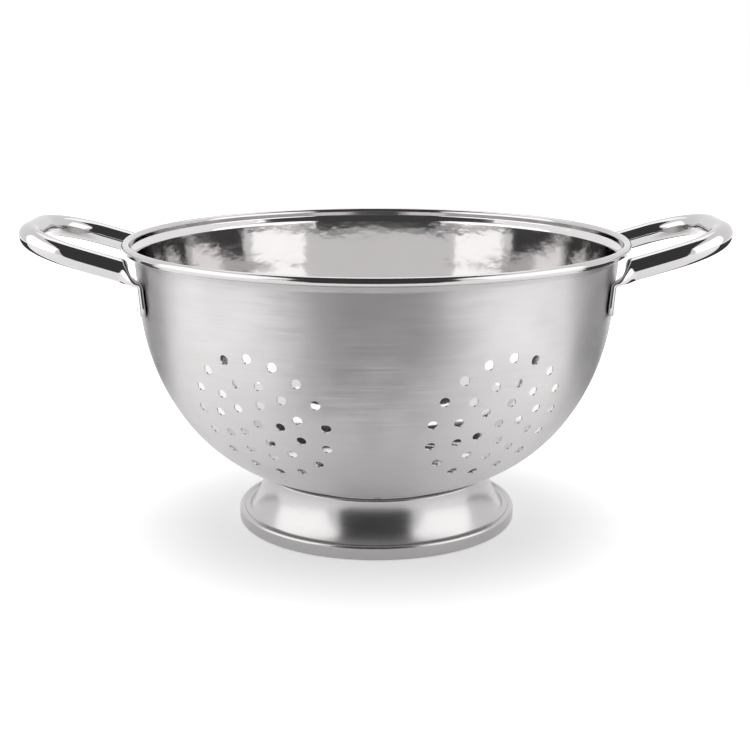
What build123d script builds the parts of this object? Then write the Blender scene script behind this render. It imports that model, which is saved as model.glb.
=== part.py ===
"""A stainless steel colander: pressed bowl with a rolled rim and rosettes of drain holes, a spun foot
ring, and two handles of bent tube whose flattened ends are spot welded to the bowl's wall.

Millimetres, +Z up. The origin is the middle of the foot, on the table. The handles point along X.
"""

from build123d import *
from math import asin, cos, radians, sin, sqrt, tan
import os

# Bowl: sheet, height and rim
rim_diameter = 250.0            # over the rolled bead
rim_height = 143.8              # table to the top of the bead
bowl_sheet = 0.7
bead_diameter = 4.2             # the rolled edge
bead_turn = 270.0               # degrees that the sheet is rolled round
rim_neck = 2.3                  # upright sheet between the step and the bead
rim_step = 2.4                  # the 45 degree step under the bead, its run and its rise

# Bowl: wall and bottom
wall_draft = 4.86               # degrees that the upper wall leans outwards
wall_height = 33.4              # rim's top down to where the straight wall turns into the side arc
base_height = 21.75             # table to the underside of the flat bottom
heel_sweep = 55.0               # degrees that the heel arc turns, up from the flat bottom
side_drop_share = 0.60          # share of the curved part's height that the side arc takes

# Drain holes: one rosette of rings, punched six times in the wall and once in the bottom
hole_diameter = 4.5
ring_radii = (11.2, 20.8, 32.4)
ring_counts = (5, 11, 16)
ring_starts = (-2.4, 10.2, -1.5)        # degrees, from the rosette's right hand side
rosette_height_share = 0.5781           # share of the curved part's height, up to the wall rosettes
rosette_count = 6
punch_reach = 9.0                       # how far a punch runs to each side of the sheet

# Foot ring
foot_share = 0.564                      # the foot's diameter as a share of the rim's
foot_sheet = 0.8
foot_neck_inset = 13.0                  # the foot's outside in to the skirt's, where it meets the bowl
foot_seat_width = 8.0                   # flange that lies against the bowl's underside
foot_shoulder_height = 7.0              # table to the top of the rolled shoulder
foot_shoulder_radius = 1.5
foot_groove_radius = 2.0                # valley between the skirt and the shoulder
foot_groove_angle = 50.0                # degrees that the groove climbs into the shoulder
foot_skirt_bulge = 2.0                  # how far the skirt is drawn in from a straight cone
foot_hem_radius = 1.2
foot_hem_width = 3.0                    # flat turned-in edge that rests on the table

# Handles
tube_diameter = 11.0
tube_wall = 1.2
handle_overhang = 48.6                  # the rim's outside to the outside of the handle's tip
handle_spacing = 78.6                   # between the middles of the two legs
handle_corner_share = 0.728             # corner radius as a share of the shorter side beside it
handle_tilt = 16.5                      # degrees that the handle rises outwards
strap_width = 19.0                      # the flattened ends
strap_length = 16.5                     # from the fold's height down to the strap's end
fold_depth = 15.8                       # the rim's top down to the middle of the fold's flat top
strap_corner_radius = 5.0
strap_bend_radius = 1.6                 # inside of the fold
strap_drop = 3.6                        # the flat lies this far under the tube's middle
flare_length = 7.0                      # from the fold to the round tube

# Joints between pieces
seat_gap = 0.15                         # between faces that are welded together
nugget_diameter = 4.5
nugget_spacing = 8.0                    # between the two welds on one strap
foot_weld_count = 8
foot_nugget_diameter = 3.5

rim_radius = rim_diameter / 2
bead_radius = bead_diameter / 2
bead_middle_height = rim_height - bead_radius
wall_top_height = bead_middle_height - rim_neck - rim_step
wall_top_radius = rim_radius - bead_diameter + bowl_sheet - rim_step
wall_break = rim_height - wall_height
wall_break_radius = wall_top_radius - (wall_top_height - wall_break) * tan(radians(wall_draft))

side_end = radians(90 - heel_sweep)     # slope from the upright where the two arcs meet
draft = radians(wall_draft)
curve_height = wall_break - base_height
side_radius = side_drop_share * curve_height / (sin(side_end) - sin(draft))
heel_radius = (1 - side_drop_share) * curve_height / (1 - sin(side_end))
rosette_height = base_height + rosette_height_share * curve_height
flat_radius = (
    wall_break_radius
    - side_radius * (cos(draft) - cos(side_end))
    - heel_radius * cos(side_end)
)

foot_radius = foot_share * rim_radius
foot_neck_radius = foot_radius - foot_neck_inset


def wall_radius(height):
    """Outer radius of the straight upper wall at a height."""
    return wall_top_radius - (wall_top_height - height) * tan(draft)


def heel_point(radius, offset):
    """Point (radius, height) a given distance under the bottom's heel arc."""
    reach = radius - flat_radius
    return radius, base_height + heel_radius - sqrt((heel_radius + offset) ** 2 - reach ** 2)


def heel_line(inner, outer, offset):
    """Arc between two radii, a given distance under the bottom's heel arc."""
    radii = (inner, (inner + outer) / 2, outer)
    return ThreePointArc(*[heel_point(radius, offset) for radius in radii])


def sheet_section(skin, thickness, side):
    """The cut face of a sheet whose one skin is the given line."""
    return make_face(offset(Wire(skin), thickness, side=side))


def dish_skin(depth):
    """Flat bottom, heel and side, from the axis outwards, a depth into the sheet from its outer skin."""
    floor = Line((0, base_height + depth), (flat_radius, base_height + depth))
    heel = JernArc(floor @ 1, floor % 1, heel_radius - depth, heel_sweep)
    side = JernArc(heel @ 1, heel % 1, side_radius - depth, 90 - heel_sweep - wall_draft)
    return [floor, heel, side]


def make_dish():
    """The curved part of the bowl, whole, up to where the straight wall begins."""
    outer, inner = dish_skin(0), dish_skin(bowl_sheet)
    middle = Line(outer[0] @ 0, inner[0] @ 0)
    edge = Line(outer[-1] @ 1, inner[-1] @ 1)
    return revolve(Plane.XZ * make_face(Wire([*outer, edge, *inner, middle])), Axis.Z)


def make_upper_wall():
    """Straight wall, step, neck and rolled bead."""
    wall = Line((wall_break_radius, wall_break), (wall_top_radius, wall_top_height))
    step = Line(wall @ 1, (wall_top_radius + rim_step, wall_top_height + rim_step))
    neck = Line(step @ 1, step @ 1 + Vector(0, rim_neck))
    outer_bead = JernArc(neck @ 1, neck % 1, bead_radius - bowl_sheet, -bead_turn / 2)
    inner_bead = JernArc(outer_bead @ 1, outer_bead % 1, bead_radius - bowl_sheet, -bead_turn / 2)
    skin = [wall, step, neck, outer_bead, inner_bead]
    return revolve(Plane.XZ * sheet_section(skin, bowl_sheet, Side.LEFT), Axis.Z)


def rosette(plane):
    """The punches of one rosette, standing on a plane."""
    punch = Cylinder(hole_diameter / 2, 2 * punch_reach)
    punches = [plane * punch]
    for radius, count, start in zip(ring_radii, ring_counts, ring_starts):
        punches += [plane * place * punch for place in PolarLocations(radius, count, start)]
    return punches


def wall_rosette_plane():
    """Plane on the side arc at the rosette's height, facing outwards and down, X to the right."""
    middle_height = wall_break + side_radius * sin(draft)
    dip = asin((middle_height - rosette_height) / side_radius)
    middle_radius = wall_break_radius - side_radius * cos(draft)
    radius = middle_radius + side_radius * cos(dip)
    return Plane(origin=(radius, 0, rosette_height), x_dir=(0, 1, 0), z_dir=(cos(dip), 0, -sin(dip)))


def make_bowl():
    wall_plane = wall_rosette_plane()
    punches = rosette(Plane(origin=(0, 0, base_height)))
    for index in range(rosette_count):
        turn = Rot(0, 0, index * 360 / rosette_count)
        punches += [turn * punch for punch in rosette(wall_plane)]
    return make_dish() - punches + make_upper_wall()


def make_foot():
    """Seat flange under the bowl, waisted skirt, groove, rolled shoulder, band and turned-in hem."""
    climb = radians(foot_groove_angle)
    shoulder_start = (
        foot_radius - foot_shoulder_radius * (1 + sin(climb)),
        foot_shoulder_height - foot_shoulder_radius * (1 - cos(climb)),
    )
    groove_start = (shoulder_start[0] - 2 * foot_groove_radius * sin(climb), shoulder_start[1])
    seat = heel_line(foot_neck_radius - foot_seat_width, foot_neck_radius, seat_gap)
    skirt = SagittaArc(seat @ 1, groove_start, -foot_skirt_bulge)
    groove = JernArc(groove_start, (cos(climb), -sin(climb)), foot_groove_radius, 2 * foot_groove_angle)
    shoulder = JernArc(groove @ 1, groove % 1, foot_shoulder_radius, -90 - foot_groove_angle)
    band = Line(shoulder @ 1, (foot_radius, foot_hem_radius))
    turn = JernArc(band @ 1, band % 1, foot_hem_radius, -90)
    hem = Line(turn @ 1, turn @ 1 - Vector(foot_hem_width, 0))
    skin = [seat, skirt, groove, shoulder, band, turn, hem]
    return revolve(Plane.XZ * sheet_section(skin, foot_sheet, Side.RIGHT), Axis.Z)


strap_thickness = 2 * tube_wall
strap_standoff = seat_gap + strap_thickness / 2     # wall to the middle of the strap
tube_radius = tube_diameter / 2
leg_offset = handle_spacing / 2
handle_reach = rim_radius + handle_overhang
tilt = radians(handle_tilt)
fold_height = rim_height - fold_depth
strap_bottom_height = fold_height - strap_length
fold_radius = strap_bend_radius + strap_thickness / 2
fold_turn = 90 - wall_draft - handle_tilt

# Height and radius of the strap's top, where the fold begins, and of the fold's outer end
strap_top_height = fold_height - fold_radius * (cos(tilt) - sin(draft))
strap_top_radius = wall_radius(strap_top_height) + strap_standoff / cos(draft)
fold_end_radius = strap_top_radius + fold_radius * (cos(draft) - sin(tilt))
strap_angle = asin(leg_offset / fold_end_radius)    # from the handles' axis to the strap's middle

# Across the strap, straight out from the wall, and up the wall, for the strap at -Y
across = Vector(sin(strap_angle), cos(strap_angle), 0)
outwards = Vector(cos(strap_angle), -sin(strap_angle), 0)
upwards = Vector(0, 0, 1)
off_wall = outwards * cos(draft) - upwards * sin(draft)
up_wall = outwards * sin(draft) + upwards * cos(draft)
along_flare = outwards * cos(tilt) + upwards * sin(tilt)


def strap_point(radius, height):
    """Point in the upright plane through the strap's middle."""
    return outwards * radius + upwards * height


def handle_plane():
    """Plane of the bent tube's middle line, X outwards along the legs, starting over the folds."""
    reach = fold_end_radius * cos(strap_angle)
    along, normal = (cos(tilt), 0, sin(tilt)), (-sin(tilt), 0, cos(tilt))
    return Plane(origin=(reach, 0, fold_height), x_dir=along, z_dir=normal).offset(strap_drop)


def handle_path():
    plane = handle_plane()
    tip = (handle_reach - tube_radius - plane.origin.X) / cos(tilt)
    near_leg = [(flare_length, -leg_offset), (tip, -leg_offset)]
    far_leg = [(tip, leg_offset), (flare_length, leg_offset)]
    corner_radius = handle_corner_share * min(leg_offset, tip - flare_length)
    return plane * FilletPolyline(near_leg + far_leg, radius=corner_radius)


def make_strap():
    """One flattened end at -Y: flare from the round tube, fold, and strap down the wall."""
    path = handle_path()
    mouth = Plane(origin=path @ 0, x_dir=(0, 1, 0), z_dir=path % 0)
    flat = Plane(origin=strap_point(fold_end_radius, fold_height), x_dir=across, z_dir=along_flare)
    section = SlotOverall(strap_width, strap_thickness)
    flare = loft([flat * section, mouth * Circle(tube_radius)])
    top = strap_point(strap_top_radius, strap_top_height)
    fold = revolve(flat * section, Axis(top + off_wall * fold_radius, -across), fold_turn)
    drop = (strap_top_height - strap_bottom_height) / cos(draft)
    strap = extrude(Plane(origin=top, x_dir=across, z_dir=-up_wall) * section, drop)
    outline = Plane(origin=top, x_dir=across, z_dir=off_wall) * RectangleRounded(
        strap_width, 2 * drop, strap_corner_radius
    )
    return flare + fold + (strap & extrude(outline, strap_thickness, both=True))


def make_handle():
    """The handle at +X: a bent hollow tube closed at both ends by its flattened straps."""
    path = handle_path()
    mouth = Plane(origin=path @ 0, x_dir=(0, 1, 0), z_dir=path % 0)
    tube = sweep(mouth * Circle(tube_radius), path) - sweep(mouth * Circle(tube_radius - tube_wall), path)
    strap = make_strap()
    return tube + [strap, mirror(strap, Plane.XZ)]


def nugget(plane, diameter, sheet):
    """Weld metal on the bowl's skin, from inside its sheet into the sheet that is welded on."""
    height = bowl_sheet / 2 + seat_gap + sheet / 2
    middle = (seat_gap + sheet / 2 - bowl_sheet / 2) / 2
    return plane.offset(middle) * Cylinder(diameter / 2, height)


def make_handle_welds(shell, handle):
    """Two spot welds behind each strap of the handle at +X, as thick as the gap that they fill."""
    middle = (strap_top_height + strap_bottom_height) / 2
    welds = []
    for place in (-nugget_spacing / 2, nugget_spacing / 2):
        height = middle + place * cos(draft)
        skin = Plane(origin=strap_point(wall_radius(height), height), z_dir=off_wall)
        weld = nugget(skin, nugget_diameter, strap_thickness) - shell - handle
        welds += [weld, mirror(weld, Plane.XZ)]
    return Compound(welds)


def make_foot_welds():
    """Spot welds round the foot's seat, as thick as the gap that they fill."""
    radius, height = heel_point(foot_neck_radius - foot_seat_width / 2, 0)
    inner, outer = radius - foot_nugget_diameter, radius + foot_nugget_diameter
    bowl_side, foot_side = heel_line(inner, outer, 0), heel_line(inner, outer, seat_gap)
    ends = [Line(bowl_side @ 0, foot_side @ 0), Line(bowl_side @ 1, foot_side @ 1)]
    gap = revolve(Plane.YZ * make_face(Wire([bowl_side, foot_side, *ends])), Axis.Z)
    facing = Vector(radius - flat_radius, 0, height - base_height - heel_radius)
    skin = Plane(origin=(radius, 0, height), z_dir=facing)
    weld = nugget(skin, foot_nugget_diameter, foot_sheet) & gap
    turns = [Rot(0, 0, index * 360 / foot_weld_count) for index in range(foot_weld_count)]
    return Compound([turn * weld for turn in turns])


def main():
    os.makedirs("parts", exist_ok=True)
    shell = make_dish() + make_upper_wall()
    handle = make_handle()
    handle_welds = make_handle_welds(shell, handle)
    half_turn = Rot(0, 0, 180)
    pieces = {
        "bowl": make_bowl(),
        "foot_ring": make_foot(),
        "foot_ring_welds": make_foot_welds(),
        "right_handle": handle,
        "right_handle_welds": handle_welds,
        "left_handle": half_turn * handle,
        "left_handle_welds": half_turn * handle_welds,
    }
    for name, piece in pieces.items():
        export_step(piece, f"parts/{name}.step")


main()
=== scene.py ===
"""Footed stainless steel colander: its surfaces, finishes and studio.

The working lengths are millimetres and become metres where a mesh is made. A profile is drawn in radius
and height. Its headings are angles from straight outwards, turned up and then back towards the axis.
"""

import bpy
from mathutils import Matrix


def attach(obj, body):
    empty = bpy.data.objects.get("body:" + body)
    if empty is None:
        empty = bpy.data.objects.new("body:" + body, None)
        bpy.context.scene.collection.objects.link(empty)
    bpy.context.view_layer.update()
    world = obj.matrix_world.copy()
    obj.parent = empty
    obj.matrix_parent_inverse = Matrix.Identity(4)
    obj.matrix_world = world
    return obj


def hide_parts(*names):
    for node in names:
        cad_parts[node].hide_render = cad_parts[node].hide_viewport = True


bl_info = {
    "name": "Footed Steel Colander",
    "version": (1, 0, 0),
    "blender": (4, 5, 0),
    "location": "3D View > Sidebar > Colander",
    "description": "Pressed bowl with punched rosettes, spun foot and bent tube handles, in a plain studio",
    "category": "Add Mesh",
}

from math import asin, atan2, ceil, cos, degrees, hypot, pi, radians, sin, sqrt, tan

import bmesh
import bpy
import numpy as np
from bpy.props import FloatProperty, FloatVectorProperty, PointerProperty
from mathutils import Euler, Vector
from mathutils.geometry import delaunay_2d_cdt

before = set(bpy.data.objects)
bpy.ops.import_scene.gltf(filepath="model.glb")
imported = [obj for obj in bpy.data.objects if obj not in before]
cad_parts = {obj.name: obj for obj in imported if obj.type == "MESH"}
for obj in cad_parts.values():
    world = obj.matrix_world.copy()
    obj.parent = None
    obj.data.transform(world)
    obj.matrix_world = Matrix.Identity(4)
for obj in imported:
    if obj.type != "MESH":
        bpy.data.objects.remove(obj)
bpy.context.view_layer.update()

# Bowl profile, from the axis to the rim
RIM_RADIUS = 125.0
RIM_HEIGHT = 143.8
BEAD_RADIUS = 2.1
BEAD_WRAP = 262                         # degrees that the edge is rolled through
RIM_NECK = 2.3                          # upright sheet between the step and the bead
RIM_STEP = 2.4                          # run and rise of the 45 degree step
STEP_BEND = 2.0                         # bend where the wall turns out into the step
NECK_BEND = 1.5
DRAFT = radians(4.86)                   # lean of the straight upper wall
BOWL_SHEET = 0.7
HEEL_SWEEP = radians(55.0)
WALL_BREAK = 110.4                      # height where the side arc ends and the straight wall begins
BASE = 21.75                            # underside of the flat bottom
CURVE_HEIGHT = WALL_BREAK - BASE
WALL_TOP = RIM_HEIGHT - BEAD_RADIUS - RIM_NECK - RIM_STEP
ROSETTE_HEIGHT = 73.0
ROSETTE_REACH = 106.0                   # the wall's radius near a rosette, which makes a turn a length
ROSETTE_RINGS = ((11.2, 5, -2.4), (20.8, 11, 10.2), (32.4, 16, -1.5))   # radius, holes, first angle
DISC_RADIUS = 36.0                      # sheet round one rosette that is meshed as a disc
DISC_MARGIN = 0.8                       # kept free of lattice points inside the disc's rim
SECTOR_START = 88.6                     # distance up the sheet where the six wall sectors begin

# Foot profile
SEAT_GAP = 0.15
FOOT_NECK = 57.5
FOOT_RADIUS = 70.5
HEM_WIDTH = 3.0
HEM_BEND = 1.2
SHOULDER_HEIGHT = 7.0
SHOULDER_BEND = 1.5
GROOVE_BEND = 2.0
GROOVE_ANGLE = 50.0
SKIRT_BULGE = 2.0
NECK_FILLET = 1.3
SEAT_SWEEP = 7.2                        # degrees of the bowl's heel that the 8 mm seat covers
FILLET_SHARE = 3.0                      # degrees of them that the fillet takes

# Handles
HANDLE_REACH = 173.6
LEG_OFFSET = 39.3
CORNER_RADIUS = 28.61
TILT = radians(16.5)
FOLD_HEIGHT = 128.0
STRAP_END = 111.5
STRAP_HALF_THICKNESS = 1.2
STRAP_CORNER = 5.0
STRAP_NOSE = 0.9                        # rounding of the strap's cut end
FOLD_BEND = 2.8                         # middle of the flattened tube
STRAP_DROP = 3.6
FLARE_LENGTH = 7.0
FLARE_PULL = 8.0                        # length of the flare curve's end tangents
WELD_OFFSET = 4.0                       # the two spot welds above and below a strap's middle
WELD_RADIUS = 2.4

# Points of the meshes
ARC_TURN, ARC_STEP = 12, 3              # widest step on a profile's arcs, in degrees and mm
RUN_STEP = 4                            # and on its straight runs
SECTOR_COLUMNS, SECTOR_ROWS = 32, 24    # on the sides of one 60 degree wall sector
COLUMNS = 6 * SECTOR_COLUMNS            # round the bowl and the foot
BLEND_LAYERS = 6                        # between a rosette's disc and its sector's border
APRON_ROWS = 16                         # between the bottom rosette and the wall sectors
BEAD_ROWS = 24                          # of the inner skin, in the bead's finish
HOLE_SIDES = 18
GUARD_SIDES = 12
GUARD_RING = 1.6                        # guard ring round a hole, in radii of the hole's edge
GUARD_ROOM = 1.3                        # a guard stays as many radii off the next hole's middle
LATTICE_ROOM = 1.95                     # and a lattice point this many
LATTICE_STEP = 2.6
LATTICE_REACH = 20                      # rows and columns each way, past the disc's rim
LOOP_POINTS = 56                        # round one section of a handle
NOSE_STEPS, STRAP_STEPS, FOLD_STEPS, FLARE_STEPS = 6, 25, 14, 18
LEG_STEPS, CORNER_STEPS, TIP_STEPS = 9, 36, 6

# Finish
BLOTCH_SCALE = 38.0                     # per metre: uneven polish in patches of about 26 mm

# Studio, in metres and degrees
FLOOR_HALF = 6.0
# Painted shade: the floor's own light is lowered round the colander, and steel is shown only a share of it
SHADOW_START, SHADOW_END = 0.07, 0.22   # where the floor's own light begins to rise and is full
SHADOW_LIGHT = 0.35                     # the floor's own light under the colander
FLOOR_IN_STEEL = 0.75                   # share of that light that steel reflects
SKY_LIGHT = 0.5                         # the world's light on surfaces
CARDS = (                               # azimuth, then distance, height and half width along the card
    ("dark_strip", -1.5, ((0.4, 0.003, 0.18), (0.6, 0.004, 0.3), (0.85, 0.06, 0.58), (0.95, 0.4, 0.66),
                          (0.85, 0.8, 0.6), (0.5, 1.0, 0.55), (-0.25, 1.0, 0.5))),
    ("left_gap", -122, ((0.25, 0.003, 0.08), (1.3, 0.003, 0.36))),
    ("right_gap", 114, ((0.22, 0.003, 0.09), (1.3, 0.003, 0.48))),
)
SOFTBOXES = (                           # azimuth, elevation, distance, width, height, radiance
    ("left_softbox", -76, 24, 0.9, 1.0, 0.8, 0.8),
    ("right_softbox", 70, 24, 0.9, 0.9, 0.8, 0.8),
    ("back_softbox", 180, 60, 1.0, 0.9, 0.6, 0.6),
)
LAMP_AIM = 0.09                         # height that the softboxes face
CAMERA_DISTANCE, CAMERA_HEIGHT = 0.6884, 0.2383
CAMERA_DIP = 13.49
CAMERA_LENS = 66.87
CAMERA_SHIFT = -0.0019                  # centres the crop as photographed


def linear(code):
    """Linear colour of an sRGB hex code."""
    parts = [int(code[place:place + 2], 16) / 255 for place in (0, 2, 4)]
    return [part / 12.92 if part <= 0.04045 else ((part + 0.055) / 1.055) ** 2.4 for part in parts]


class ColanderSizes(bpy.types.PropertyGroup):
    """Sizes of the sheet, holes and handles."""

    bowl_sheet: FloatProperty(
        name="Bowl sheet", description="Thickness of the bowl's steel",
        default=BOWL_SHEET / 1000, unit="LENGTH", precision=5
    )
    foot_sheet: FloatProperty(
        name="Foot sheet", description="Thickness of the foot's steel",
        default=0.0008, unit="LENGTH", precision=5
    )
    hole_diameter: FloatProperty(
        name="Drain hole", description="Width of one punched hole",
        default=0.0045, unit="LENGTH", precision=5
    )
    hole_edge: FloatProperty(
        name="Hole edge", description="Rounding left by the punch and polish",
        default=0.00012, unit="LENGTH", precision=5
    )
    tube_diameter: FloatProperty(
        name="Handle tube", description="Width of the handle's round tube",
        default=0.011, unit="LENGTH", precision=5
    )
    strap_width: FloatProperty(
        name="Strap", description="Width of the flattened tube ends",
        default=0.019, unit="LENGTH", precision=5
    )
    weld_dimple: FloatProperty(
        name="Weld mark", description="Depth of the spot weld's mark in a strap",
        default=0.00005, unit="LENGTH", precision=5
    )


class ColanderFinishes(bpy.types.PropertyGroup):
    """Colours and gloss of the steel."""

    steel: FloatVectorProperty(
        name="Steel", description="Colour of the polished sheet",
        subtype="COLOR", size=3, min=0, max=1, default=linear("D0CECE")
    )
    # Lighter than the outer sheet's steel: partly the buffed finish, partly painted light that brightens the
    # bowl's inside
    buffed_steel_and_painted_light: FloatVectorProperty(
        name="Buffed steel", description="Colour of the bowl's bright inside",
        subtype="COLOR", size=3, min=0, max=1, default=linear("DEDCDC")
    )
    tube_steel: FloatVectorProperty(
        name="Tube steel", description="Colour of the polished handle",
        subtype="COLOR", size=3, min=0, max=1, default=linear("C9C7C7")
    )
    # Darker than the bowl's steel: partly the spun finish, partly painted shade that darkens the foot
    foot_steel: FloatVectorProperty(
        name="Foot steel", description="Colour of the spun foot",
        subtype="COLOR", size=3, min=0, max=1, default=linear("BFBDBD")
    )
    weld_steel: FloatVectorProperty(
        name="Weld metal", description="Colour of the spot welds",
        subtype="COLOR", size=3, min=0, max=1, default=linear("8E8B86")
    )
    brushed_roughness: FloatProperty(
        name="Brushed roughness", description="Blur of the bowl's outside",
        default=0.5, min=0, max=1, subtype="FACTOR"
    )
    foot_roughness: FloatProperty(
        name="Foot roughness", description="Blur of the spun foot",
        default=0.24, min=0, max=1, subtype="FACTOR"
    )


class ColanderStudio(bpy.types.PropertyGroup):
    """Backdrop, cards and lamps."""

    backdrop: FloatVectorProperty(
        name="Backdrop", description="Colour of the floor",
        subtype="COLOR", size=3, min=0, max=1, default=linear("F2F2F2")
    )
    lamp_level: FloatProperty(
        name="Lamps", description="Brightness of the softboxes against the backdrop",
        default=1.0, min=0, max=4
    )
    card_level: FloatProperty(
        name="Dark cards", description="Brightness of the dark side of the studio",
        default=0.06, min=0, max=1
    )
    camera_turn: FloatProperty(
        name="Camera turn", description="Turn of the camera round the colander",
        default=radians(-0.6), subtype="ANGLE"
    )


# Shape of the bowl's curved part, worked out as a toolmaker would from the heights and the slopes
side_end = pi / 2 - HEEL_SWEEP
wall_top_radius = RIM_RADIUS - 2 * BEAD_RADIUS + BOWL_SHEET - RIM_STEP
wall_break_radius = wall_top_radius - (WALL_TOP - WALL_BREAK) * tan(DRAFT)
side_radius = 0.6 * CURVE_HEIGHT / (sin(side_end) - sin(DRAFT))
heel_radius = 0.4 * CURVE_HEIGHT / (1 - sin(side_end))
side_middle = (wall_break_radius - side_radius * cos(DRAFT), WALL_BREAK + side_radius * sin(DRAFT))
flat_radius = side_middle[0] + (side_radius - heel_radius) * cos(side_end)
heel_middle = (flat_radius, BASE + heel_radius)
heel_end = flat_radius + heel_radius * HEEL_SWEEP
side_reach = heel_end + side_radius * (pi / 2 - DRAFT - HEEL_SWEEP)


def on_dish(turn, distance, depth):
    """Points and outward normals of the bowl's curved part at a depth into its sheet.

    The outer skin runs flat to flat_radius, then turns up by distance / radius on the heel arc and on the
    side arc. With heading h the normal is (sin h, -cos h), and depth is taken off along it.
    """
    turn, distance = np.broadcast_arrays(turn, distance)
    heel = np.clip(distance - flat_radius, 0, heel_radius * HEEL_SWEEP) / heel_radius
    heading = heel + np.maximum(distance - heel_end, 0) / side_radius
    radius = np.minimum(distance, flat_radius) + heel_radius * np.sin(heel)
    radius = radius + side_radius * (np.sin(heading) - np.sin(heel)) - depth * np.sin(heading)
    height = BASE + heel_radius * (1 - np.cos(heel))
    height = height + side_radius * (np.cos(heel) - np.cos(heading)) + depth * np.cos(heading)
    across, along = np.cos(turn), np.sin(turn)
    points = np.stack([radius * across, radius * along, height], -1)
    normals = np.stack([np.sin(heading) * across, np.sin(heading) * along, -np.cos(heading)], -1)
    return points, normals


def off_dish(points):
    """Turn, distance and depth of points near the dish, by the angle and reach from each arc's middle."""
    radius, height = np.hypot(points[..., 0], points[..., 1]), points[..., 2]
    side = np.arctan2(radius - side_middle[0], side_middle[1] - height)
    heel = np.arctan2(radius - heel_middle[0], heel_middle[1] - height)
    side_depth = side_radius - np.hypot(radius - side_middle[0], height - side_middle[1])
    heel_depth = heel_radius - np.hypot(radius - heel_middle[0], height - heel_middle[1])
    on_side, on_flat = side > HEEL_SWEEP, radius < flat_radius
    depth = np.where(on_side, side_depth, np.where(on_flat, height - BASE, heel_depth))
    low = np.where(on_flat, radius, flat_radius + heel * heel_radius)
    distance = np.where(on_side, heel_end + (side - HEEL_SWEEP) * side_radius, low)
    return np.arctan2(points[..., 1], points[..., 0]), distance, depth


def punched(plane, spots, depth):
    """Where punches through flat spots meet the skin at a depth, in six Newton steps along the punch."""
    origin, right, up, facing = plane
    points = origin + spots[..., :1] * right + spots[..., 1:] * up
    for _ in range(6):
        turn, distance, now = off_dish(points)
        normals = on_dish(turn, distance, now)[1]
        points = points + ((now - depth) / (normals @ facing))[..., None] * facing
    return points, normals


def trace(start, heading, moves):
    """Points and headings along straight runs (length, 0) and arcs (radius, degrees, left turns positive).

    An arc of radius r from heading h to a adds r (sin a - sin h, cos h - cos a), with the sign of its turn.
    """
    points, headings = [np.array([start], float)], [np.array([heading], float)]
    for size, turn in moves:
        if turn:
            count = max(3, ceil(abs(turn) / ARC_TURN), ceil(abs(radians(turn)) * size / ARC_STEP))
            now = heading + radians(turn) * np.linspace(0, 1, count + 1)[1:]
            reach = np.stack([np.sin(now) - sin(heading), cos(heading) - np.cos(now)], -1)
            points.append(points[-1][-1] + size * np.sign(turn) * reach)
        else:
            along = size * np.linspace(0, 1, max(1, ceil(size / RUN_STEP)) + 1)[1:, None]
            now = np.full(len(along), heading)
            points.append(points[-1][-1] + along * (cos(heading), sin(heading)))
        headings.append(now)
        heading = now[-1]
    return np.concatenate(points), np.concatenate(headings)


def rounded_end(point, heading, thickness):
    """Half circle round the cut edge of a sheet, from its right skin to its left one."""
    forward, left = np.array([cos(heading), sin(heading)]), np.array([-sin(heading), cos(heading)])
    turn = np.radians([30, 60, 90, 120, 150])[:, None]
    normals = np.sin(turn) * forward - np.cos(turn) * left
    return point + thickness / 2 * (left + normals), normals


def revolved(points, normals, closed, surface):
    """A profile of radius and height turned round the axis: (r cos t, r sin t, z) for each column's t."""
    turn = np.arange(COLUMNS) * 2 * pi / COLUMNS
    ring = np.stack([np.cos(turn), np.sin(turn)], -1)
    grid, facing = (
        np.concatenate([row[:, None, :1] * ring, np.repeat(row[:, None, 1:], COLUMNS, 1)], -1)
        for row in (points, normals)
    )
    return grid_patch(grid, facing, closed, True, surface)


def grid_patch(grid, facing, wrap_rows, wrap_columns, surface):
    """Patch from a grid of points, each face between two rows and two columns."""
    rows, columns = grid.shape[:2]
    row = np.arange(rows if wrap_rows else rows - 1)[:, None]
    column = np.arange(columns if wrap_columns else columns - 1)[None, :]
    next_row, next_column = (row + 1) % rows, (column + 1) % columns
    corners = [row * columns + column, row * columns + next_column]
    corners += [next_row * columns + next_column, next_row * columns + column]
    faces = np.stack([np.broadcast_to(corner, corners[0].shape) for corner in corners], -1)
    return grid.reshape(-1, 3), facing.reshape(-1, 3), faces.reshape(-1, 4), surface


def make_piece(name, patches, materials, nodes):
    """One piece from patches of points, normals, faces and a material's place, with doubles merged.

    A face whose own normal, the cross product of its diagonals, leans against its points' normals is turned.
    """
    first, faces, surfaces = 0, [], []
    for points, normals, corners, surface in patches:
        shape = points[corners]
        own = np.cross(shape[:, 2] - shape[:, 0], shape[:, -1] - shape[:, 1])
        wrong = np.einsum("ij,ij->i", own, normals[corners].sum(1)) < 0
        corners = np.where(wrong[:, None], corners[:, ::-1], corners)
        faces += (corners + first).tolist()
        surfaces.append(np.full(len(corners), surface))
        first += len(points)
    mesh = bpy.data.meshes.new(name)
    mesh.from_pydata(np.concatenate([patch[0] for patch in patches]) / 1000, [], faces)
    mesh.polygons.foreach_set("material_index", np.concatenate(surfaces).astype(np.int32))
    kept = mesh.attributes.new("surface_normal", "FLOAT_VECTOR", "POINT")
    normals = np.concatenate([patch[1] for patch in patches])
    kept.data.foreach_set("vector", normals.ravel().astype(np.float32))
    work = bmesh.new()
    work.from_mesh(mesh)
    bmesh.ops.remove_doubles(work, verts=work.verts, dist=1e-6)
    work.to_mesh(mesh)
    work.free()
    normals = np.empty(len(mesh.vertices) * 3, np.float32)
    mesh.attributes["surface_normal"].data.foreach_get("vector", normals)
    mesh.attributes.remove(mesh.attributes["surface_normal"])
    mesh.shade_smooth()
    mesh.normals_split_custom_set_from_vertices(normals.reshape(-1, 3))
    for material in materials:
        mesh.materials.append(material)
    piece = bpy.data.objects.new(name, mesh)
    bpy.context.scene.collection.objects.link(piece)
    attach(piece, "root")
    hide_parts(*nodes)


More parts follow.
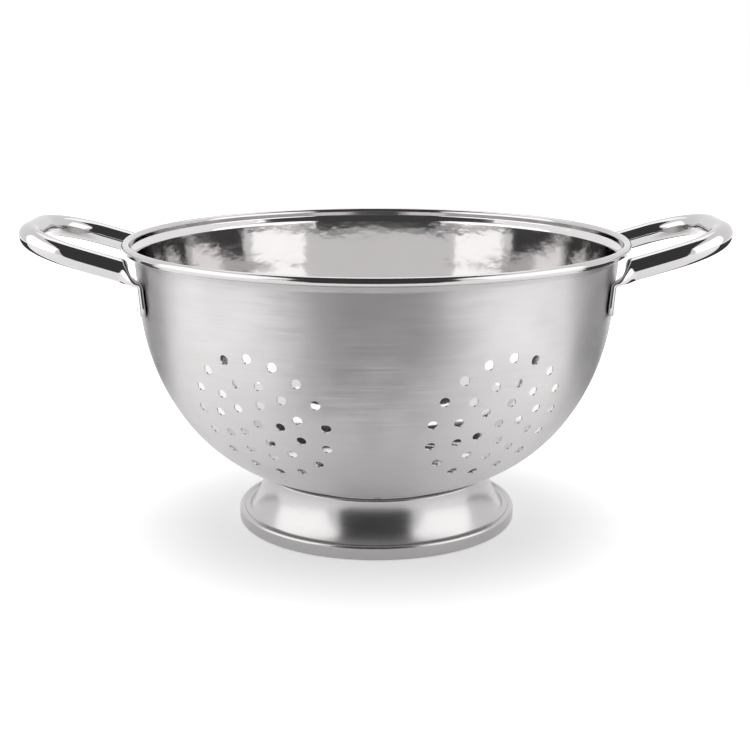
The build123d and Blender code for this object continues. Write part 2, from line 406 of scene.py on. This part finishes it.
def hole_middles():
    """Flat middles of one rosette's holes: the centre hole and three rings."""
    spots = [np.zeros((1, 2))]
    for radius, count, start in ROSETTE_RINGS:
        turn = radians(start) + np.arange(count) * 2 * pi / count
        spots.append(radius * np.stack([np.cos(turn), np.sin(turn)], -1))
    return np.concatenate(spots)


def ring_round(middles, radius, sides=HOLE_SIDES):
    """Even ring of points round each middle."""
    turn = np.arange(sides) * 2 * pi / sides
    return middles[:, None] + radius * np.stack([np.cos(turn), np.sin(turn)], -1)


def nearest(spots, middles):
    """Distance from each spot to the nearest middle."""
    return np.hypot(*(spots[:, None] - middles[None]).transpose(2, 0, 1)).min(1)


def disc_mesh(rim, edge_radius):
    """Flat triangles of a disc with its holes: constrained Delaunay over the rim, the hole edges, a guard
    ring round each hole and an even lattice. A triangle whose middle is in a hole is dropped."""
    middles = hole_middles()
    edges = ring_round(middles, edge_radius).reshape(-1, 2)
    guards = ring_round(middles, GUARD_RING * edge_radius, GUARD_SIDES).reshape(-1, 2)
    row, column = np.mgrid[-LATTICE_REACH:LATTICE_REACH + 1, -LATTICE_REACH:LATTICE_REACH + 1]
    lattice = np.stack([(column + row % 2 / 2) * LATTICE_STEP, row * LATTICE_STEP * sqrt(0.75)], -1)
    lattice = lattice.reshape(-1, 2)
    lattice = lattice[nearest(lattice, middles) > LATTICE_ROOM * edge_radius]
    fill = np.concatenate([guards, lattice])
    spare = nearest(fill, middles) > GUARD_ROOM * edge_radius
    fill = fill[(np.hypot(fill[:, 0], fill[:, 1]) < DISC_RADIUS - DISC_MARGIN) & spare]
    spots = np.concatenate([rim, edges, fill])
    loops = [np.arange(len(rim))]
    loops += [len(rim) + hole * HOLE_SIDES + np.arange(HOLE_SIDES) for hole in range(len(middles))]
    borders = np.concatenate([np.stack([loop, np.roll(loop, -1)], -1) for loop in loops])
    flat = [Vector(spot) for spot in spots.tolist()]
    found = delaunay_2d_cdt(flat, borders.tolist(), [], 0, 1e-6)
    spots = np.array([tuple(spot) for spot in found[0]])
    faces = np.array([face for face in found[2]])
    inside = nearest(spots[faces].mean(1), middles) < edge_radius
    return spots, faces[~inside]


def hole_strips(plane, radius, edge, sheet):
    """Walls of one rosette's holes, with the sheet's edge rounded at both skins."""
    middles, grids, facings = hole_middles(), [], []
    right, up = plane[1], plane[2]
    turn = np.arange(HOLE_SIDES) * 2 * pi / HOLE_SIDES
    inwards = -(np.cos(turn)[:, None] * right + np.sin(turn)[:, None] * up)
    for grown, depth, lean in ((edge, 0, 1), (0, edge, 0), (0, sheet - edge, 0), (edge, sheet, -1)):
        spots = ring_round(middles, radius + grown).reshape(-1, 2)
        points, normals = punched(plane, spots, depth)
        wall = np.tile(inwards, (len(middles), 1))
        grids.append(points.reshape(len(middles), HOLE_SIDES, 3))
        facings.append((normals * lean if lean else wall).reshape(len(middles), HOLE_SIDES, 3))
    grids, facings = np.stack(grids, 1), np.stack(facings, 1)
    return [grid_patch(grid, facing, False, True, 3) for grid, facing in zip(grids, facings)]


def turned(patch, angle):
    """A patch turned round the axis."""
    points, normals, faces, surface = patch
    turn = np.array([[cos(angle), sin(angle), 0], [-sin(angle), cos(angle), 0], [0, 0, 1]])
    return points @ turn, normals @ turn, faces, surface


def sector_edge(middle):
    """Turn and distance round the border of one 60 degree wall sector from its right side, and the angle of
    each point round the rosette's middle."""
    half, low, high = pi / 6, SECTOR_START, side_reach
    across = np.linspace(-half, half, SECTOR_COLUMNS + 1)
    along = np.linspace(low, high, SECTOR_ROWS + 1)
    right = np.stack([np.full(SECTOR_ROWS, half), along[:-1]], -1)
    top = np.stack([across[::-1][:-1], np.full(SECTOR_COLUMNS, high)], -1)
    left = np.stack([np.full(SECTOR_ROWS, -half), along[::-1][:-1]], -1)
    bottom = np.stack([across[:-1], np.full(SECTOR_COLUMNS, low)], -1)
    border = np.concatenate([right, top, left, bottom])
    return border, np.arctan2(border[:, 1] - middle[1], (border[:, 0] - middle[0]) * ROSETTE_REACH)


def make_bowl_patches(sizes):
    """Skins, holes and rim of the bowl.

    Each rosette is a disc that is projected onto both skins along the punches. Round it, six layers of
    turn and distance blend straight from the disc's rim to the border of its 60 degree sector.
    """
    sheet = sizes.bowl_sheet * 1000
    radius, edge = sizes.hole_diameter * 500, sizes.hole_edge * 1000
    patches = []

    # Bottom rosette, and the plain sheet from it up to the wall sectors
    base_plane = [np.array(item, float) for item in ((0, 0, BASE), (1, 0, 0), (0, 1, 0), (0, 0, -1))]
    turn = np.arange(COLUMNS) * 2 * pi / COLUMNS
    rim = DISC_RADIUS * np.stack([np.cos(turn), np.sin(turn)], -1)
    spots, faces = disc_mesh(rim, radius + edge)
    for depth, side, surface in ((0, 1, 0), (sheet, -1, 1)):
        points, normals = punched(base_plane, spots, depth)
        patches.append((points, side * normals, faces, surface))
        start = off_dish(punched(base_plane, rim[:1], depth)[0])[1][0]
        rows = np.linspace(start, SECTOR_START, APRON_ROWS + 1)[:, None]
        grid, facing = on_dish(turn[None], rows, depth)
        patches.append(grid_patch(grid, side * facing, False, True, surface))
    patches += hole_strips(base_plane, radius, edge, sheet)

    # One wall sector, turned to its six places
    dip = asin((side_middle[1] - ROSETTE_HEIGHT) / side_radius)
    middle_radius = side_middle[0] + side_radius * cos(dip)
    wall_plane = [np.array(item, float) for item in (
        (middle_radius, 0, ROSETTE_HEIGHT), (0, 1, 0), (sin(dip), 0, cos(dip)), (cos(dip), 0, -sin(dip))
    )]
    middle = off_dish(wall_plane[0])
    border, angle = sector_edge(middle)
    rim = DISC_RADIUS * np.stack([np.cos(angle), np.sin(angle)], -1)
    spots, faces = disc_mesh(rim, radius + edge)
    sector = hole_strips(wall_plane, radius, edge, sheet)
    blend = np.linspace(0, 1, BLEND_LAYERS + 1)[:, None, None]
    for depth, side, surface in ((0, 1, 0), (sheet, -1, 1)):
        points, normals = punched(wall_plane, spots, depth)
        sector.append((points, side * normals, faces, surface))
        ring = np.stack(off_dish(punched(wall_plane, rim, depth)[0])[:2], -1)
        place = (1 - blend) * ring + blend * border
        grid, facing = on_dish(place[..., 0], place[..., 1], depth)
        sector.append(grid_patch(grid, side * facing, False, True, surface))
    for index in range(6):
        patches += [turned(patch, index * pi / 3) for patch in sector]

    # Straight wall, step, neck and rolled bead: out along one skin, round the cut edge and back. A bend
    # takes its radius x the tangent of half its turn off the runs beside it.
    step_turn = 45 - degrees(DRAFT)
    step_cut, neck_cut = STEP_BEND * tan(radians(step_turn / 2)), NECK_BEND * tan(radians(45 / 2))
    wall_run = (WALL_TOP - WALL_BREAK) / cos(DRAFT) - step_cut
    moves = [(wall_run, 0), (STEP_BEND, -step_turn)]
    moves += [(RIM_STEP * sqrt(2) - step_cut - neck_cut, 0), (NECK_BEND, 45), (RIM_NECK - neck_cut, 0)]
    moves += [(BEAD_RADIUS - sheet, -BEAD_WRAP)]
    points, headings = trace((wall_break_radius, WALL_BREAK), pi / 2 - DRAFT, moves)
    left = np.stack([-np.sin(headings), np.cos(headings)], -1)
    end, end_normals = rounded_end(points[-1], headings[-1], sheet)
    bead = len(points) - BEAD_ROWS
    patches.append(revolved(points, -left, False, 0))
    patches.append(revolved(np.stack([points[-1], *end, points[-1] + sheet * left[-1]]),
                            np.stack([-left[-1], *end_normals, left[-1]]), False, 2))
    inner = points + sheet * left
    patches.append(revolved(inner[:bead + 1], left[:bead + 1], False, 1))
    patches.append(revolved(inner[bead:], left[bead:], False, 2))
    return patches


def make_foot_patches(sizes):
    """The foot's sheet, traced up its outside: hem, band, rolled shoulder, groove, skirt, neck and seat."""
    sheet = sizes.foot_sheet * 1000
    climb = radians(GROOVE_ANGLE)
    reach = FOOT_NECK - flat_radius
    top = np.array([FOOT_NECK, heel_middle[1] - sqrt((heel_radius + SEAT_GAP) ** 2 - reach ** 2)])
    shoulder = np.array([FOOT_RADIUS - SHOULDER_BEND * (1 + sin(climb)), SHOULDER_HEIGHT])
    shoulder[1] -= SHOULDER_BEND * (1 - cos(climb))
    low = shoulder - (2 * GROOVE_BEND * sin(climb), 0)
    chord = hypot(*(top - low))
    skirt_radius = chord ** 2 / (8 * SKIRT_BULGE) + SKIRT_BULGE / 2
    half = degrees(asin(chord / 2 / skirt_radius))
    lean = degrees(atan2(*(top - low)[::-1]))
    slope = degrees(asin(reach / (heel_radius + SEAT_GAP)))
    fillet = 180 + slope - (lean - half)
    cut = NECK_FILLET * tan(radians(fillet / 2))
    moves = [(HEM_WIDTH, 0), (HEM_BEND, 90), (SHOULDER_HEIGHT - SHOULDER_BEND - HEM_BEND, 0)]
    moves += [(SHOULDER_BEND, 90 + GROOVE_ANGLE), (GROOVE_BEND, lean + half - 180 - GROOVE_ANGLE)]
    moves += [(skirt_radius, degrees(cut / skirt_radius) - 2 * half)]
    moves += [(NECK_FILLET, fillet - FILLET_SHARE), (heel_radius + SEAT_GAP, FILLET_SHARE - SEAT_SWEEP)]
    points, headings = trace((FOOT_RADIUS - HEM_BEND - HEM_WIDTH, 0), 0, moves)
    left = np.stack([-np.sin(headings), np.cos(headings)], -1)
    end, end_normals = rounded_end(points[-1], headings[-1], sheet)
    start, start_normals = rounded_end(points[0] + sheet * left[0], headings[0] + pi, sheet)
    rows = np.concatenate([points, end, (points + sheet * left)[::-1], start])
    normals = np.concatenate([-left, end_normals, left[::-1], start_normals])
    return [revolved(rows, normals, True, 0)]


def section(half_width, half_thickness):
    """Evenly spaced points of a stadium: flats of the spare width between half circles, or a circle.

    Points step along a perimeter of 4 (width - thickness) + 2 pi thickness, from the middle of the outer flat.
    """
    spare = np.maximum(half_width - half_thickness, 0)
    half_turn = pi * half_thickness
    total = 4 * spare + 2 * half_turn
    along = (np.arange(LOOP_POINTS)[None, :] / LOOP_POINTS) * total[:, None]
    spare, half_turn, radius = spare[:, None], half_turn[:, None], half_thickness[:, None]
    safe = np.maximum(radius, 1e-6)
    first = np.clip((along - spare) / safe, 0, pi)
    second = np.clip((along - 3 * spare - half_turn) / safe, 0, pi)
    turn = first + second
    run = np.minimum(along, spare) - np.clip(along - spare - half_turn, 0, 2 * spare)
    run = run + np.clip(along - 3 * spare - 2 * half_turn, 0, None)
    return run + radius * np.sin(turn), radius * np.cos(turn)


def handle_grid(sizes):
    """Half of the handle at +X, from the strap's lower end at -Y to the middle of the tip.

    Each station has a middle, a wide and a thick direction and a section. The strap runs up the wall, folds
    out through an arc, flares along a Hermite curve into the round tube, and bends at the corner.
    """
    width, tube = sizes.strap_width * 500, sizes.tube_diameter * 500
    thick = STRAP_HALF_THICKNESS
    strap_top = FOLD_HEIGHT - FOLD_BEND * (cos(TILT) - sin(DRAFT))
    standoff = SEAT_GAP + thick
    wall_radius = wall_top_radius - (WALL_TOP - strap_top) * tan(DRAFT)
    strap_radius = wall_radius + standoff / cos(DRAFT)
    fold_radius = strap_radius + FOLD_BEND * (cos(DRAFT) - sin(TILT))
    spread = asin(LEG_OFFSET / fold_radius)
    out, up = np.array([cos(spread), -sin(spread), 0]), np.array([0, 0, 1.0])
    across = np.array([sin(spread), cos(spread), 0])
    off_wall, up_wall = out * cos(DRAFT) - up * sin(DRAFT), out * sin(DRAFT) + up * cos(DRAFT)
    along_flare = out * cos(TILT) + up * sin(TILT)

    # Strap: its corners are rounded in outline and its cut end is rounded like a nose
    drop = (strap_top - STRAP_END) / cos(DRAFT)
    nose = STRAP_NOSE * (1 - np.cos(np.linspace(0, pi / 2, NOSE_STEPS + 1)))
    rise = np.concatenate([nose, np.linspace(STRAP_NOSE, drop, STRAP_STEPS + 1)[1:]])
    inset = np.clip(STRAP_CORNER - rise, 0, STRAP_CORNER)
    half_width = width - STRAP_CORNER + np.sqrt(STRAP_CORNER ** 2 - inset ** 2)
    half_thick = thick * np.sqrt(1 - np.clip(1 - rise / STRAP_NOSE, 0, 1) ** 2)
    top = out * strap_radius + up * strap_top
    middles = [top - (drop - rise)[:, None] * up_wall]
    wides, thicks = [np.tile(across, (len(rise), 1))], [np.tile(off_wall, (len(rise), 1))]
    widths, depths = [half_width], [half_thick]

    # Fold: turned out and down round an axis across the strap
    turn = np.linspace(0, pi / 2 - DRAFT - TILT, FOLD_STEPS + 1)[1:, None]
    facing = off_wall * np.cos(turn) - up_wall * np.sin(turn)
    middles.append(top + FOLD_BEND * (off_wall - facing))
    wides.append(np.tile(across, (FOLD_STEPS, 1)))
    thicks.append(facing)
    widths.append(np.full(FOLD_STEPS, width))
    depths.append(np.full(FOLD_STEPS, thick))

    # Flare: Hermite curve h(s) between the fold's end and the tube's mouth, widths eased by 3 s^2 - 2 s^3
    heading, normal = np.array([cos(TILT), 0, sin(TILT)]), np.array([-sin(TILT), 0, cos(TILT)])
    origin = np.array([fold_radius * cos(spread), 0, FOLD_HEIGHT]) + STRAP_DROP * normal
    begin = out * fold_radius + up * FOLD_HEIGHT
    mouth = origin + FLARE_LENGTH * heading - (0, LEG_OFFSET, 0)
    s = np.linspace(0, 1, FLARE_STEPS + 1)[1:, None]
    ease = s * s * (3 - 2 * s)
    pull_out, pull_in = (s ** 3 - 2 * s ** 2 + s) * along_flare, (s ** 3 - s ** 2) * heading
    middles.append((1 - ease) * begin + ease * mouth + FLARE_PULL * pull_out + FLARE_PULL * pull_in)
    under = np.array([sin(TILT), 0, -cos(TILT)])
    mixed = (1 - ease) * across + ease * np.array([0, 1.0, 0])
    wides.append(mixed / np.linalg.norm(mixed, axis=1)[:, None])
    mixed = (1 - ease) * facing[-1] + ease * under
    thicks.append(mixed / np.linalg.norm(mixed, axis=1)[:, None])
    widths.append((width + (tube - width) * ease)[:, 0])
    depths.append((thick + (tube - thick) * ease)[:, 0])

    # Leg, corner and half of the tip, in the tilted plane of the tube
    tip = (HANDLE_REACH - tube - origin[0]) / cos(TILT)
    leg = np.linspace(FLARE_LENGTH, tip - CORNER_RADIUS, LEG_STEPS + 1)[1:]
    bend = np.linspace(0, pi / 2, CORNER_STEPS + 1)[1:]
    last = np.linspace(LEG_OFFSET - CORNER_RADIUS, 0, TIP_STEPS + 1)[1:]
    ahead = np.concatenate([leg, tip - CORNER_RADIUS * (1 - np.sin(bend)), np.full(TIP_STEPS, tip)])
    aside = LEG_OFFSET - CORNER_RADIUS * (1 - np.cos(bend))
    aside = np.concatenate([np.full(LEG_STEPS, LEG_OFFSET), aside, last])
    turn = np.concatenate([np.zeros(LEG_STEPS), bend, np.full(TIP_STEPS, pi / 2)])[:, None]
    middles.append(origin + ahead[:, None] * heading - aside[:, None] * np.array([0, 1.0, 0]))
    wides.append(np.cos(turn) * np.array([0, 1.0, 0]) - np.sin(turn) * heading)
    thicks.append(np.tile(under, (len(turn), 1)))
    widths.append(np.full(len(turn), tube))
    depths.append(np.full(len(turn), tube))

    middles, wides, thicks = (np.concatenate(item) for item in (middles, wides, thicks))
    run, lift = section(np.concatenate(widths), np.concatenate(depths))
    grid = middles[:, None] + run[..., None] * wides[:, None] + lift[..., None] * thicks[:, None]

    # Spot weld marks: shallow round dips in the strap's outer face
    middle_rise = ((strap_top + STRAP_END) / 2 - strap_top) / cos(DRAFT)
    for place in (-WELD_OFFSET, WELD_OFFSET):
        spot = top + (middle_rise + place) * up_wall + thick * off_wall
        away = np.linalg.norm(grid - spot, axis=-1)
        dip = sizes.weld_dimple * 1000 * np.clip(1 - (away / WELD_RADIUS) ** 2, 0, 1) ** 2
        grid = grid - dip[..., None] * off_wall
    return grid, up_wall


def make_handle_patches(sizes):
    """The handle at +X: the half from handle_grid, and its mirror image at +Y, on one grid."""
    grid, up_wall = handle_grid(sizes)
    mirror = np.array([1, -1, 1])
    grid = np.concatenate([grid, grid[:-1][::-1] * mirror])
    along = np.gradient(grid, axis=0)
    round_loop = np.roll(grid, -1, 1) - np.roll(grid, 1, 1)
    facing = np.cross(round_loop, along)
    size = np.linalg.norm(facing, axis=-1, keepdims=True)
    outwards = grid - grid.mean(1, keepdims=True)
    sense = np.sign((facing * outwards).sum(-1).sum(-1))[:, None, None]
    facing = sense * facing / np.maximum(size, 1e-9)
    facing[0], facing[-1] = -up_wall, -up_wall * mirror
    return [grid_patch(grid, facing, False, True, 0)]


def add(tree, kind, settings=None, inputs=None):
    """Adds a node with its settings and its inputs, each a value or another node's output."""
    node = tree.nodes.new(kind)
    for name, value in (settings or {}).items():
        setattr(node, name, value)
    for name, value in (inputs or {}).items():
        if isinstance(value, bpy.types.NodeSocket):
            tree.links.new(value, node.inputs[name])
        else:
            node.inputs[name].default_value = value
    return node


def steel(name, colour, roughness, grain, grain_depth, blotch, anisotropy=0.0):
    """Bare steel. Grain is a noise with so many steps per metre along X, Y and Z, and far more of them along Z
    draw brushed lines round the axis. It varies the gloss and, grain_depth metres deep, the relief. Blotch is
    the share of the roughness that polishing leaves uneven."""
    material = bpy.data.materials.new(name)
    material.use_nodes = True
    tree = material.node_tree
    shader = tree.nodes["Principled BSDF"]
    shader.inputs["Base Color"].default_value = (*colour, 1)
    shader.inputs["Metallic"].default_value = 1.0
    shader.inputs["Anisotropic"].default_value = anisotropy
    shader.inputs["Anisotropic Rotation"].default_value = 0.25      # turns the blur across the brushed lines
    place = add(tree, "ShaderNodeTexCoord").outputs["Object"]
    lines = add(tree, "ShaderNodeMapping", {}, {"Vector": place, "Scale": grain})
    fine = add(tree, "ShaderNodeTexNoise", {}, {"Vector": lines.outputs[0], "Scale": 1.0, "Detail": 3.0})
    slow = add(tree, "ShaderNodeTexNoise", {}, {"Vector": place, "Scale": BLOTCH_SCALE, "Detail": 4.0})
    both = add(tree, "ShaderNodeMix", {}, {"Factor": 0.5, "A": fine.outputs[0], "B": slow.outputs[0]})
    gloss = add(tree, "ShaderNodeMapRange", {}, {
        "Value": both.outputs[0], "From Min": 0.3, "From Max": 0.7,
        "To Min": roughness * (1 - blotch), "To Max": roughness * (1 + blotch),
    })
    tree.links.new(gloss.outputs[0], shader.inputs["Roughness"])
    relief = add(tree, "ShaderNodeBump", {}, {
        "Height": fine.outputs[0], "Distance": grain_depth, "Strength": 1.0,
    })
    tree.links.new(relief.outputs[0], shader.inputs["Normal"])
    return material


class BuildBowl(bpy.types.Operator):
    """Build the bowl with its drain holes and rolled rim"""

    bl_idname = "colander.bowl"
    bl_label = "Bowl"

    def execute(self, context):
        sizes, finishes = context.scene.colander_sizes, context.scene.colander_finishes
        # Sheet brushed on a turning chuck: lines of about 0.2 mm round the axis, drawn at 0.6 mm so that they
        # show. They blur reflections along the wall into soft upright bands.
        brushed = steel("brushed_stainless_sheet", finishes.steel, finishes.brushed_roughness,
                        (40, 40, 1600), 0.000004, 0.22, 0.85)
        # Buffed inside: clear reflections that the drawn sheet's slow waves bend, in steel set lighter than
        # the outside's, partly as painted light
        buffed = steel("buffed_stainless_sheet", finishes.buffed_steel_and_painted_light, 0.07, (45, 45, 70), 0.00016, 0.3)
        # Rolled edge polished with the handles, and the bare walls that a punch leaves in the holes
        bead = steel("polished_rolled_edge", finishes.tube_steel, 0.1, (30, 30, 300), 0.00001, 0.2)
        cut = steel("punched_edge", finishes.steel, 0.3, (300, 300, 300), 0.00001, 0.2)
        finish = [brushed, buffed, bead, cut]
        make_piece("bowl_skins", make_bowl_patches(sizes), finish, ["bowl"])
        return {"FINISHED"}


class BuildFoot(bpy.types.Operator):
    """Build the spun foot ring"""

    bl_idname = "colander.foot"
    bl_label = "Foot"

    def execute(self, context):
        sizes, finishes = context.scene.colander_sizes, context.scene.colander_finishes
        # Spun and satin polished: shallower lines than the bowl's, and glossier, in steel set darker than the
        # bowl's, partly as painted shade
        spun = steel("spun_stainless_foot", finishes.foot_steel, finishes.foot_roughness,
                     (30, 30, 1500), 0.000002, 0.15, 0.5)
        make_piece("foot_skins", make_foot_patches(sizes), [spun], ["foot_ring"])
        return {"FINISHED"}


class BuildHandles(bpy.types.Operator):
    """Build both tube handles with their flattened straps"""

    bl_idname = "colander.handles"
    bl_label = "Handles"

    def execute(self, context):
        sizes, finishes = context.scene.colander_sizes, context.scene.colander_finishes
        # Tube polished to a mirror after bending: faint waves and buffing haze only
        polished = steel("mirror_polished_tube", finishes.tube_steel, 0.05,
                         (60, 60, 60), 0.00003, 0.4)
        patches = make_handle_patches(sizes)
        make_piece("right_tube", patches, [polished], ["right_handle"])
        other = [turned(patch, pi) for patch in patches]
        make_piece("left_tube", other, [polished], ["left_handle"])
        return {"FINISHED"}


class FinishWelds(bpy.types.Operator):
    """Give the hidden spot welds their dull metal"""

    bl_idname = "colander.welds"
    bl_label = "Welds"

    def execute(self, context):
        # Metal that melted between the sheets: dull and a little darker than they are
        weld = steel("spot_weld_metal", context.scene.colander_finishes.weld_steel, 0.55,
                     (400, 400, 400), 0.00002, 0.2)
        for name in ("foot_ring_welds", "right_handle_welds", "left_handle_welds"):
            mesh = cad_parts[name].data
            mesh.materials.clear()
            mesh.materials.append(weld)
        return {"FINISHED"}


def glowing(name, level):
    """Plain card that glows at an even level, 1 for white."""
    material = bpy.data.materials.new(name)
    material.use_nodes = True
    tree = material.node_tree
    tree.nodes.clear()
    glow = add(tree, "ShaderNodeEmission", {}, {"Color": (1, 1, 1, 1), "Strength": level})
    out = add(tree, "ShaderNodeOutputMaterial")
    tree.links.new(glow.outputs[0], out.inputs["Surface"])
    return material


def card(name, azimuth, line, material):
    """Stage card that lenses don't see and steel does: a line of (distance, height, half width) in metres
    that stands out from the colander at an azimuth, with the camera's side at 0 and +X at 90."""
    line, side, turn = np.array(line), np.array([-1, 1]), radians(azimuth)
    out, across = np.array([sin(turn), -cos(turn), 0]), np.array([cos(turn), sin(turn), 0])
    grid = line[:, None, :1] * out + line[:, None, 2:] * side[None, :, None] * across
    grid = grid + line[:, None, 1:2] * np.array([0, 0, 1.0])
    points, _, faces, _ = grid_patch(grid, grid, False, False, 0)
    mesh = bpy.data.meshes.new(name)
    mesh.from_pydata(points, [], faces.tolist())
    mesh.materials.append(material)
    item = bpy.data.objects.new(name, mesh)
    bpy.context.scene.collection.objects.link(item)
    item.visible_camera = False


def lamp(name, azimuth, elevation, reach, width, height, radiance):
    """Rectangular softbox that faces the colander. Its power is its radiance x pi x its area."""
    data = bpy.data.lights.new(name, "AREA")
    data.shape = "RECTANGLE"
    data.size, data.size_y = width, height
    data.energy = radiance * pi * width * height
    item = bpy.data.objects.new(name, data)
    turn, rise = radians(azimuth), radians(elevation)
    spot = Vector((sin(turn) * cos(rise), -cos(turn) * cos(rise), sin(rise)))
    item.location = spot * reach + Vector((0, 0, LAMP_AIM))
    item.rotation_euler = spot.to_track_quat("Z", "Y").to_euler()
    bpy.context.scene.collection.objects.link(item)


class BuildStudio(bpy.types.Operator):
    """Set up the backdrop, cards, softboxes and camera"""

    bl_idname = "colander.studio"
    bl_label = "Studio"

    def execute(self, context):
        studio = context.scene.colander_studio
        context.scene.view_settings.view_transform = "Standard"

        # World: white where the camera, steel or glass looks, and a low level for everything else
        world = bpy.data.worlds.new("studio")
        context.scene.world = world
        world.use_nodes = True
        tree = world.node_tree
        path = add(tree, "ShaderNodeLightPath")
        seen = add(tree, "ShaderNodeMath", {"operation": "MAXIMUM"},
                   {0: path.outputs["Is Camera Ray"], 1: path.outputs["Is Glossy Ray"]})
        seen = add(tree, "ShaderNodeMath", {"operation": "MAXIMUM"},
                   {0: seen.outputs[0], 1: path.outputs["Is Transmission Ray"]})
        level = add(tree, "ShaderNodeMapRange", {}, {
            "Value": seen.outputs[0], "To Min": SKY_LIGHT, "To Max": 1.0,
        })
        sky = tree.nodes["Background"]
        sky.inputs["Color"].default_value = (1, 1, 1, 1)
        tree.links.new(level.outputs[0], sky.inputs["Strength"])

        # Floor: pale board whose own light fades in from the colander outwards: painted shade round it, beside
        # its cast shadow
        board = bpy.data.materials.new("pale_studio_board")
        board.use_nodes = True
        tree = board.node_tree
        shader = tree.nodes["Principled BSDF"]
        shader.inputs["Base Color"].default_value = (*studio.backdrop, 1)
        shader.inputs["Roughness"].default_value = 0.9
        place = add(tree, "ShaderNodeTexCoord").outputs["Object"]
        away = add(tree, "ShaderNodeVectorMath", {"operation": "LENGTH"}, {0: place})
        # Painted shade: the floor glows less near the colander than further out
        fade = add(tree, "ShaderNodeMapRange", {"interpolation_type": "SMOOTHSTEP"}, {
            "Value": away.outputs["Value"], "From Min": SHADOW_START, "From Max": SHADOW_END,
            "To Min": SHADOW_LIGHT, "To Max": 1.0,
        })
        # Glossy rays get FLOOR_IN_STEEL of this light, a painted dimmer floor in the steel's reflections
        path = add(tree, "ShaderNodeLightPath")
        seen = add(tree, "ShaderNodeMath", {"operation": "MULTIPLY_ADD"},
                   {0: path.outputs["Is Glossy Ray"], 1: FLOOR_IN_STEEL, 2: path.outputs["Is Camera Ray"]})
        seen = add(tree, "ShaderNodeMath", {"operation": "MAXIMUM"},
                   {0: seen.outputs[0], 1: path.outputs["Is Transmission Ray"]})
        glow = add(tree, "ShaderNodeMath", {"operation": "MULTIPLY"},
                   {0: fade.outputs[0], 1: seen.outputs[0]})
        light = add(tree, "ShaderNodeEmission", {}, {"Color": (1, 1, 1, 1), "Strength": glow.outputs[0]})
        total = add(tree, "ShaderNodeAddShader", {}, {0: shader.outputs[0], 1: light.outputs[0]})
        tree.links.new(total.outputs[0], tree.nodes["Material Output"].inputs["Surface"])
        mesh = bpy.data.meshes.new("floor")
        corners = [(FLOOR_HALF * x, FLOOR_HALF * y, 0) for x, y in ((-1, -1), (1, -1), (1, 1), (-1, 1))]
        mesh.from_pydata(corners, [], [(0, 1, 2, 3)])
        mesh.materials.append(board)
        floor = bpy.data.objects.new("floor", mesh)
        context.scene.collection.objects.link(floor)

        # Dark side of the studio: from the floor in front up behind and over the camera, and the floor in
        # the gaps between the softboxes at both sides
        dark = glowing("dark_card", studio.card_level)
        for name, azimuth, line in CARDS:
            card(name, azimuth, line, dark)
        for name, *place, radiance in SOFTBOXES:
            lamp(name, *place, radiance * studio.lamp_level)

        # Camera: 67 mm lens from 0.73 m, a little over the rim
        data = bpy.data.cameras.new("camera")
        data.lens, data.sensor_width, data.shift_x = CAMERA_LENS, 36.0, CAMERA_SHIFT
        camera = bpy.data.objects.new("camera", data)
        turn = studio.camera_turn
        camera.location = (CAMERA_DISTANCE * sin(turn), -CAMERA_DISTANCE * cos(turn), CAMERA_HEIGHT)
        camera.rotation_euler = Euler((radians(90 - CAMERA_DIP), 0, turn))
        context.scene.collection.objects.link(camera)
        context.scene.camera = camera
        return {"FINISHED"}


class ColanderPanel(bpy.types.Panel):
    """Lists the colander's sizes, finishes and build steps"""

    bl_idname = "COLANDER_PT_panel"
    bl_label = "Steel Colander"
    bl_space_type = "VIEW_3D"
    bl_region_type = "UI"
    bl_category = "Colander"

    def draw(self, context):
        layout, scene = self.layout, context.scene
        for group in (scene.colander_sizes, scene.colander_finishes, scene.colander_studio):
            box = layout.box()
            for name in group.__annotations__:
                box.prop(group, name)
        for operator in operators:
            layout.operator(operator.bl_idname)


operators = (BuildBowl, BuildFoot, BuildHandles, FinishWelds, BuildStudio)
groups = {
    "colander_sizes": ColanderSizes,
    "colander_finishes": ColanderFinishes,
    "colander_studio": ColanderStudio,
}


def register():
    for kind in (*groups.values(), *operators, ColanderPanel):
        bpy.utils.register_class(kind)
    for name, kind in groups.items():
        setattr(bpy.types.Scene, name, PointerProperty(type=kind))


def unregister():
    for name in groups:
        delattr(bpy.types.Scene, name)
    for kind in (ColanderPanel, *operators[::-1], *reversed(list(groups.values()))):
        bpy.utils.unregister_class(kind)


def main():
    register()
    bpy.ops.colander.bowl()
    bpy.ops.colander.foot()
    bpy.ops.colander.handles()
    bpy.ops.colander.welds()
    bpy.ops.colander.studio()


if __name__ == "__main__":
    main()
